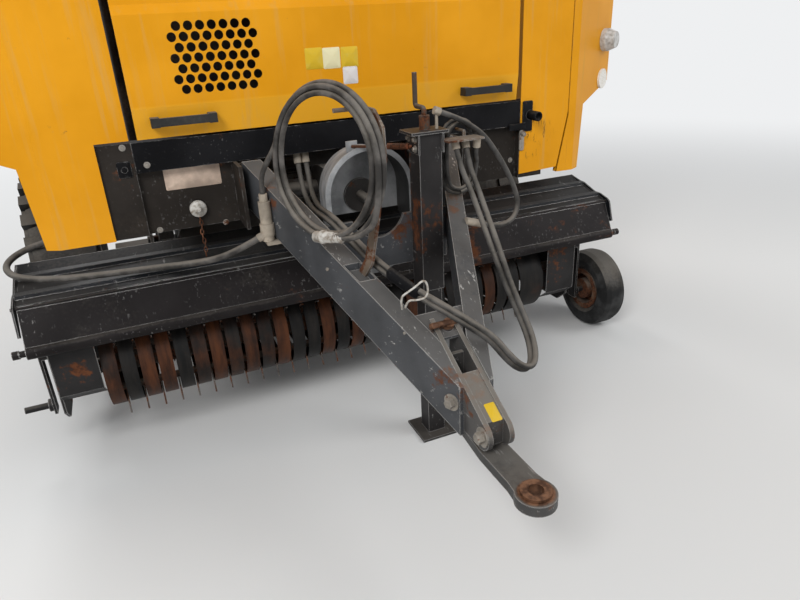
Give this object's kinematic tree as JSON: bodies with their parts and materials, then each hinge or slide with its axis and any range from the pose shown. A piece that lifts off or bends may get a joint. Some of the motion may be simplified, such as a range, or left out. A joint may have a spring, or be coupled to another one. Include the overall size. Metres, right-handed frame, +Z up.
{
  "type": "round baler",
  "caption": "Towed round baler with a steel-roller chamber, opening tailgate, tined pickup, drawbar with eye and jack, standing parked.",
  "frame": {"origin": "centre of the towing eye, at mid-thickness of the eye plate", "axes": "+Z up, +Y from the towing eye back to the tailgate, +X across to the side that keeps its gauge wheel"},
  "size_m": [2.6387, 3.5426, 2.269],
  "materials": {
    "drawbar_paint": "dusty dark grey paint, worn to steel along the edges",
    "worn_steel": "forged steel, worn and lightly rusted",
    "jack_paint": "brown-grey paint, dusty",
    "frame_paint": "black paint under dust",
    "panel_paint": "amber yellow gloss paint, faded",
    "handle_plastic": "black moulded plastic, dusty",
    "roller_steel": "steel polished by the crop",
    "chain_steel": "oily roller chain and sprockets",
    "guard_plastic": "grey plastic outside, black inside",
    "cord_rubber": "grey rubber sheath, dusty",
    "fitting_metal": "beige plug housings and plated couplings, dusty",
    "lamp_plastic": "grey housing with a clear lens",
    "tail_lamp_plastic": "red lens in a black housing",
    "tyre_rubber": "dusty black rubber",
    "rim_paint": "pale paint, rusty at the edges",
    "cylinder_paint": "black paint",
    "rod_chrome": "hard chrome",
    "pickup_paint": "dark grey paint with patches of rust",
    "band_steel": "bare steel, rusted orange-brown",
    "tine_steel": "spring steel, rusted"
  },
  "bodies": {
    "chassis": {"beam_left": "drawbar_paint", "beam_right": "drawbar_paint", "hitch_head": "drawbar_paint", "hitch_tongue": "worn_steel", "drawbar_plates": "drawbar_paint", "jack_sleeve": "jack_paint", "jack_crank": "worn_steel", "spring_rod": "worn_steel", "front_sill": "frame_paint", "front_plate_left": "frame_paint", "front_plate_right": "frame_paint", "rails": "frame_paint", "axle": "frame_paint", "chamber_wall_left": "frame_paint", "chamber_wall_right": "frame_paint", "front_rollers": "roller_steel", "bulkhead": "frame_paint", "roof": "panel_paint", "feed_floor": "frame_paint", "gearbox": "frame_paint", "chain_drive": "chain_steel", "shaft_guard": "guard_plastic", "column_right": "panel_paint", "gate_hinges": "worn_steel", "cord_holders": "worn_steel", "cord_fittings": "fitting_metal", "power_cable": "cord_rubber", "cable_coil": "cord_rubber", "hose_left": "cord_rubber", "hose_right": "cord_rubber", "hose_loop": "cord_rubber", "hose_coil": "cord_rubber"},
    "jack_leg": {"jack_leg": "jack_paint"},
    "hood": {"hood": "panel_paint", "hood_handles": "handle_plastic"},
    "shield_left": {"shield_left": "panel_paint", "lamp_left": "lamp_plastic"},
    "shield_right": {"shield_right": "panel_paint", "lamp_right": "lamp_plastic"},
    "wheel_left": {"tyre_left": "tyre_rubber", "rim_left": "rim_paint"},
    "wheel_right": {"tyre_right": "tyre_rubber", "rim_right": "rim_paint"},
    "tailgate": {"gate_sides": "panel_paint", "gate_rollers": "roller_steel", "gate_beam": "panel_paint", "tail_lamps": "tail_lamp_plastic"},
    "barrel_left": {"cylinder_left": "cylinder_paint"},
    "barrel_right": {"cylinder_right": "cylinder_paint"},
    "piston_left": {"cylinder_rod_left": "rod_chrome"},
    "piston_right": {"cylinder_rod_right": "rod_chrome"},
    "pickup": {"pickup_frame": "pickup_paint", "bands": "band_steel", "pickup_deck": "pickup_paint", "end_covers": "pickup_paint", "gauge_arms": "pickup_paint"},
    "reel": {"reel": "tine_steel"},
    "wind_guard": {"wind_guard": "pickup_paint"},
    "gauge_wheel": {"gauge_tyre": "tyre_rubber", "gauge_rim": "rim_paint"}
  },
  "joints": [
    {"name": "wheel_left_spin", "type": "hinge", "parent": "chassis", "child": "wheel_left", "pos_m": [-1.095, 2.375, 0.05], "axis": [1, 0, 0], "continuous": true},
    {"name": "wheel_right_spin", "type": "hinge", "parent": "chassis", "child": "wheel_right", "pos_m": [1.095, 2.375, 0.05], "axis": [1, 0, 0], "continuous": true},
    {"name": "gate_swing", "type": "hinge", "parent": "chassis", "child": "tailgate", "pos_m": [0, 2.48, 1.835], "axis": [1, 0, 0], "range_deg": [0, 70]},
    {"name": "barrel_left_tilt", "type": "hinge", "parent": "chassis", "child": "barrel_left", "pos_m": [-0.702, 2.45, 0.5], "axis": [1, 0, 0], "range_deg": [-1.35, 0.5]},
    {"name": "piston_left_slide", "type": "slide", "parent": "barrel_left", "child": "piston_left", "axis": [0, 0.2912, 0.9567], "range_m": [0, 0.5252]},
    {"name": "barrel_right_tilt", "type": "hinge", "parent": "chassis", "child": "barrel_right", "pos_m": [0.702, 2.45, 0.5], "axis": [1, 0, 0], "range_deg": [-1.35, 0.5]},
    {"name": "piston_right_slide", "type": "slide", "parent": "barrel_right", "child": "piston_right", "axis": [0, 0.2912, 0.9567], "range_m": [0, 0.5252]},
    {"name": "jack_slide", "type": "slide", "parent": "chassis", "child": "jack_leg", "axis": [0, 0, 1], "range_m": [-0.08, 0.35]},
    {"name": "hood_swing", "type": "hinge", "parent": "chassis", "child": "hood", "pos_m": [0, 1.9, 1.815], "axis": [-1, 0, 0], "range_deg": [0, 60]},
    {"name": "shield_left_swing", "type": "hinge", "parent": "chassis", "child": "shield_left", "pos_m": [-0.722, 1.9, 1.796], "axis": [0, 1, 0], "range_deg": [0, 75]},
    {"name": "shield_right_swing", "type": "hinge", "parent": "chassis", "child": "shield_right", "pos_m": [0.722, 1.9, 1.796], "axis": [0, -1, 0], "range_deg": [0, 75]},
    {"name": "pickup_lift", "type": "hinge", "parent": "chassis", "child": "pickup", "pos_m": [0, 1.9, 0.24], "axis": [-1, 0, 0], "range_deg": [0, 10], "deforming": ["power_cable"]},
    {"name": "reel_spin", "type": "hinge", "parent": "pickup", "child": "reel", "pos_m": [0, 1.36, -0.04], "axis": [1, 0, 0], "continuous": true},
    {"name": "wind_guard_swing", "type": "hinge", "parent": "pickup", "child": "wind_guard", "pos_m": [0, 1.194, 0.29], "axis": [-1, 0, 0], "range_deg": [0, 20]},
    {"name": "gauge_wheel_spin", "type": "hinge", "parent": "pickup", "child": "gauge_wheel", "pos_m": [1.285, 1.357, -0.21], "axis": [1, 0, 0], "continuous": true}
  ],
  "couplings": [
    {"joint": "barrel_left_tilt", "follows": "gate_swing", "ratio": -0.012102},
    {"joint": "piston_left_slide", "follows": "gate_swing", "m_per_rad": 0.42575},
    {"joint": "barrel_right_tilt", "follows": "gate_swing", "ratio": -0.012102},
    {"joint": "piston_right_slide", "follows": "gate_swing", "m_per_rad": 0.42575}
  ]
}
